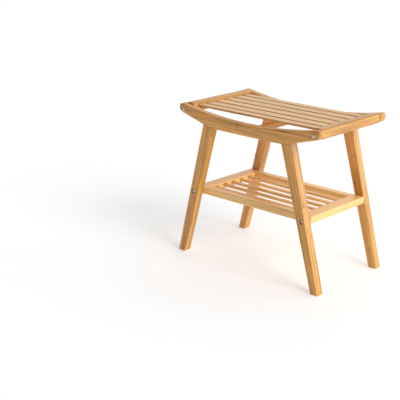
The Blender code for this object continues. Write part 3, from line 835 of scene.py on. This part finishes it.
def bamboo(name, turn, seed, paler_with_sheen=False, lift=0.0, gap_shaded_sides=()):
    """Clear-lacquered bamboo, glued up from strips whose fibres run along the piece.

    Painted shade darkens the faces that stand at the heights along Y listed in the last argument: the
    slats' sides in the narrow gaps, where shadow falls.
    """
    look = settings().finishes
    wood = Finish(name)
    place = wood.node("ShaderNodeTexCoord", output="Object")
    offset = (0.137 * seed, 0.0029 + 0.0017 * (seed % 3), 0.0045 + 0.0023 * (seed % 5))
    local = wood.node("ShaderNodeMapping", None, {"Vector": place, "Rotation": turn, "Location": offset})
    x, y, z = (wood.node("ShaderNodeSeparateXYZ", None, {"Vector": local}, axis) for axis in range(3))

    row, layer = z / look.strip_tall, y / look.strip_thick
    strip = wood.vector(row.floor(), layer.floor(), float(seed))
    chance = wood.node("ShaderNodeTexWhiteNoise", {"noise_dimensions": "3D"}, {"Vector": strip}, 1)
    tone, shift, tint = (wood.node("ShaderNodeSeparateColor", None, {"Color": chance}, part)
                         for part in range(3))

    # the noises' scales are per metre, low along the fibres and high across them
    sway = wood.noise(wood.vector(x * 9.0, y * 40.0, z * 40.0), 1.0) - 0.5
    across_y, across_z = y + sway * 0.0016, z + sway * 0.0016
    slow = wood.noise(wood.vector(x * 6.0 + shift * 9.0, across_y * 110.0, across_z * 110.0), 2.0)
    fibre = wood.noise(wood.vector(x * 5.0 + shift * 31.0, across_y * 520.0, across_z * 520.0), 3.0, 0.65)
    pores = wood.noise(wood.vector(x * 46.0, across_y * 2100.0, across_z * 2100.0), 1.0)
    pore = 1.0 - pores.fade(0.62, 0.74)

    cane = x / look.knuckle_spacing + shift
    from_knuckle = (cane.share() - 0.5).size() * look.knuckle_spacing + sway * 0.004
    line = from_knuckle.size().fade(0.0004, 0.0015)
    halo = from_knuckle.size().fade(0.0015, 0.0095)
    glue = 1.0 - ((row.share() - 0.5).size() - 0.5).size().fade(0.0, 0.022)
    seam = 1.0 - ((layer.share() - 0.5).size() - 0.5).size().fade(0.0, 0.05)
    joint = 2.0 - glue - seam

    # light runs from the darkest fibre at 0 to the palest strip at 1
    light = 0.66 + lift + (tone - 0.5) * 0.42 + (slow - 0.5) * 1.9 + (fibre - 0.5) * 1.0
    light = light - pore * 0.22 - halo * 0.10 - line * 0.34 - joint * 0.07
    depth = wood.node("ShaderNodeSeparateXYZ", None, {"Vector": place}, 1)
    # painted shade: darken the faces in the gaps between slats, where shadow falls
    for side in gap_shaded_sides:
        light = light - (depth - float(side)).size().fade(0.0003, 0.0012) * 0.9
    light = light.clamp()
    # painted sheen: the paler pair is partly the slats' and shelf's own tone, partly standing in for the
    # surround's reflection on their tops
    lightest = look.slat_pale_and_sheen if paler_with_sheen else look.pale
    darkest = look.slat_dark_and_sheen if paler_with_sheen else look.dark
    pale, dark = (*lightest, 1.0), (*darkest, 1.0)
    colour = wood.mix(light, dark, pale)
    rosy = tuple(min(1.0, part * warm) for part, warm in zip(lightest, (1.02, 0.93, 0.98))) + (1.0,)
    colour = wood.mix(tint * 0.35, colour, wood.mix(light, dark, rosy))

    relief = fibre * 0.5 + 0.5 - pore * 0.4 - joint * 0.15 + halo * 0.25
    wood.surface(Base_Color=colour, Roughness=0.36 + fibre * 0.14 + pore * 0.1,
                 Normal=wood.bump(relief, 0.00012), Coat_Weight=0.34, Coat_Roughness=0.24,
                 Specular_IOR_Level=0.42)
    return wood.material


def zinc_steel():
    """Bright zinc plating with fine turning marks and faint cloudiness."""
    look = settings().finishes
    steel = Finish("zinc_plating")
    place = steel.node("ShaderNodeTexCoord", output="Object")
    cloud = steel.noise(steel.node("ShaderNodeVectorMath", {"operation": "SCALE"},
                                   {0: place, "Scale": 900.0}), 3.0)
    x, y, z = (steel.node("ShaderNodeSeparateXYZ", None, {"Vector": place}, axis) for axis in range(3))
    marks = steel.noise(steel.vector(x * 300.0, y * 9000.0, z * 300.0), 2.0)
    dull = tuple(part * 0.72 for part in look.zinc) + (1.0,)
    steel.surface(Base_Color=steel.mix(cloud, dull, (*look.zinc, 1.0)), Metallic=1.0,
                  Roughness=0.2 + cloud * 0.22, Normal=steel.bump(marks, 0.00002))
    return steel.material


def dowel_wood():
    """Bare birch with short straight grain."""
    look = settings().finishes
    birch = Finish("bare_birch")
    place = birch.node("ShaderNodeTexCoord", output="Object")
    x, y, z = (birch.node("ShaderNodeSeparateXYZ", None, {"Vector": place}, axis) for axis in range(3))
    grain = birch.noise(birch.vector(x * 700.0, y * 700.0, z * 20.0), 3.0)
    dark = tuple(part * 0.78 for part in look.birch) + (1.0,)
    birch.surface(Base_Color=birch.mix(grain, dark, (*look.birch, 1.0)), Roughness=0.6 + grain * 0.15,
                  Normal=birch.bump(grain, 0.00008))
    return birch.material


def floor_finish():
    """A plain pale floor that gives a little light of its own, so that shadows stay faint."""
    look = settings().studio
    pale = Finish("pale_floor")
    pale.surface(Base_Color=(*look.floor_tone, 1.0), Roughness=0.9, Specular_IOR_Level=0.0,
                 Emission_Color=(*look.floor_glow, 1.0), Emission_Strength=1.0)
    return pale.material


# ---- studio ----

def floor_mesh():
    """A level square: points (u, v, 0) on a grid as wide as the floor."""
    look = settings().studio
    line = np.linspace(-look.floor_half, look.floor_half, look.floor_steps + 1)
    u, v = np.meshgrid(line, line, indexing="ij")
    points = np.stack([u, v, np.zeros_like(u)], axis=2)
    i, j = np.meshgrid(np.arange(look.floor_steps), np.arange(look.floor_steps), indexing="ij")
    here = (i * len(line) + j).ravel()
    faces = np.stack([here, here + len(line), here + len(line) + 1, here + 1], axis=1)
    mesh = bpy.data.meshes.new("studio_floor")
    mesh.from_pydata(points.reshape(-1, 3).tolist(), [], faces.tolist())
    return mesh


def add_camera():
    """The camera, turned by azimuth and elevation from a view along +Y, and rolled."""
    look = settings().studio
    a, e, r = look.camera_azimuth, look.camera_elevation, look.camera_roll
    back = Vector((math.sin(a) * math.cos(e), -math.cos(a) * math.cos(e), math.sin(e)))
    right = Vector((math.cos(a), math.sin(a), 0.0))
    turned = Matrix((right, back.cross(right), back)).transposed()
    data = bpy.data.cameras.new("camera")
    data.lens = look.camera_lens
    camera = bpy.data.objects.new("camera", data)
    bpy.context.scene.collection.objects.link(camera)
    camera.matrix_world = (Matrix.Translation(look.camera_place) @ turned.to_4x4()
                           @ Matrix.Rotation(r, 4, "Z"))
    bpy.context.scene.camera = camera


def add_key_light():
    """One broad soft light on the right."""
    look = settings().studio
    data = bpy.data.lights.new("key", "SUN")
    data.energy = look.key
    data.angle = look.key_spread
    key = bpy.data.objects.new("key", data)
    bpy.context.scene.collection.objects.link(key)
    key.rotation_euler = Vector(look.key_from).to_track_quat("Z", "Y").to_euler()


def add_strip_light():
    """An upright soft strip behind on the right, whose sheen runs down the legs' outer faces."""
    look = settings().studio
    data = bpy.data.lights.new("strip", "AREA")
    data.shape = "RECTANGLE"
    data.size, data.size_y = look.strip_wide, look.strip_tall
    data.energy = look.strip * math.pi * look.strip_wide * look.strip_tall
    data.color = look.strip_colour
    strip = bpy.data.objects.new("strip", data)
    bpy.context.scene.collection.objects.link(strip)
    strip.location = look.strip_place
    strip.rotation_euler = Vector(look.strip_place).to_track_quat("Z", "Y").to_euler()
    strip.visible_camera = False


def add_surround():
    """A plain white surround, brighter low behind the stool, whose sheen the level faces show."""
    look = settings().studio
    world = bpy.data.worlds.new("surround")
    world.use_nodes = True
    shade = NodeBuilder(world.node_tree)
    sight = shade.node("ShaderNodeTexCoord", output="Object")
    facing = shade.node("ShaderNodeVectorMath", {"operation": "DOT_PRODUCT"},
                        {0: sight, 1: Vector(look.panel_from).normalized()}, "Value")
    glow = facing.fade(look.panel_near, look.panel_far)
    background = shade.tree.nodes["Background"]
    background.inputs["Color"].default_value = (1.0, 1.0, 1.0, 1.0)
    shade.feed(background.inputs["Strength"], look.sky + glow * look.panel)
    bpy.context.scene.world = world


class STOOL_OT_stage(bpy.types.Operator):
    """Set up the floor, light, surround and camera."""
    bl_idname = "stool.stage"
    bl_label = "Studio"

    def execute(self, context):
        floor = bpy.data.objects.new("studio_floor", floor_mesh())
        context.scene.collection.objects.link(floor)
        floor.data.materials.append(floor_finish())
        add_key_light()
        add_strip_light()
        add_surround()
        add_camera()
        context.scene.view_settings.view_transform = "Standard"
        return {"FINISHED"}


# ---- panel and registration ----

class StoolLooks(bpy.types.PropertyGroup):
    """Every setting of the stool's looks."""
    seat: PointerProperty(type=StoolSeatSizes)
    legs: PointerProperty(type=StoolLegSizes)
    shelf: PointerProperty(type=StoolShelfSizes)
    bolts: PointerProperty(type=StoolBoltSizes)
    finishes: PointerProperty(type=StoolFinishes)
    studio: PointerProperty(type=StoolStudio)


OPERATORS = (
    STOOL_OT_seat_rails,
    STOOL_OT_seat_ends,
    STOOL_OT_seat_slats,
    STOOL_OT_stretcher,
    STOOL_OT_legs,
    STOOL_OT_shelf_frame,
    STOOL_OT_shelf_slats,
    STOOL_OT_bolts,
    STOOL_OT_hidden_fasteners,
    STOOL_OT_stage,
)


class STOOL_PT_looks(bpy.types.Panel):
    """The stool's pieces and settings."""
    bl_idname = "STOOL_PT_looks"
    bl_label = "Shower Stool"
    bl_space_type = "VIEW_3D"
    bl_region_type = "UI"
    bl_category = "Stool"

    def draw(self, context):
        for operator in OPERATORS:
            self.layout.operator(operator.bl_idname)
        for group in (settings().seat, settings().legs, settings().shelf, settings().bolts,
                      settings().finishes, settings().studio):
            box = self.layout.box()
            for key in group.__annotations__:
                box.prop(group, key)


CLASSES = (StoolSeatSizes, StoolLegSizes, StoolShelfSizes, StoolBoltSizes, StoolFinishes, StoolStudio,
           StoolLooks, *OPERATORS, STOOL_PT_looks)


def register():
    """Register the classes and give the scene its settings."""
    for made in CLASSES:
        bpy.utils.register_class(made)
    bpy.types.Scene.stool_looks = PointerProperty(type=StoolLooks)


def unregister():
    """Remove the settings and the classes."""
    del bpy.types.Scene.stool_looks
    for made in reversed(CLASSES):
        bpy.utils.unregister_class(made)


def main():
    """Build every piece and the studio."""
    register()
    for operator in OPERATORS:
        group, call = operator.bl_idname.split(".")
        getattr(getattr(bpy.ops, group), call)()


if __name__ == "__main__":
    main()
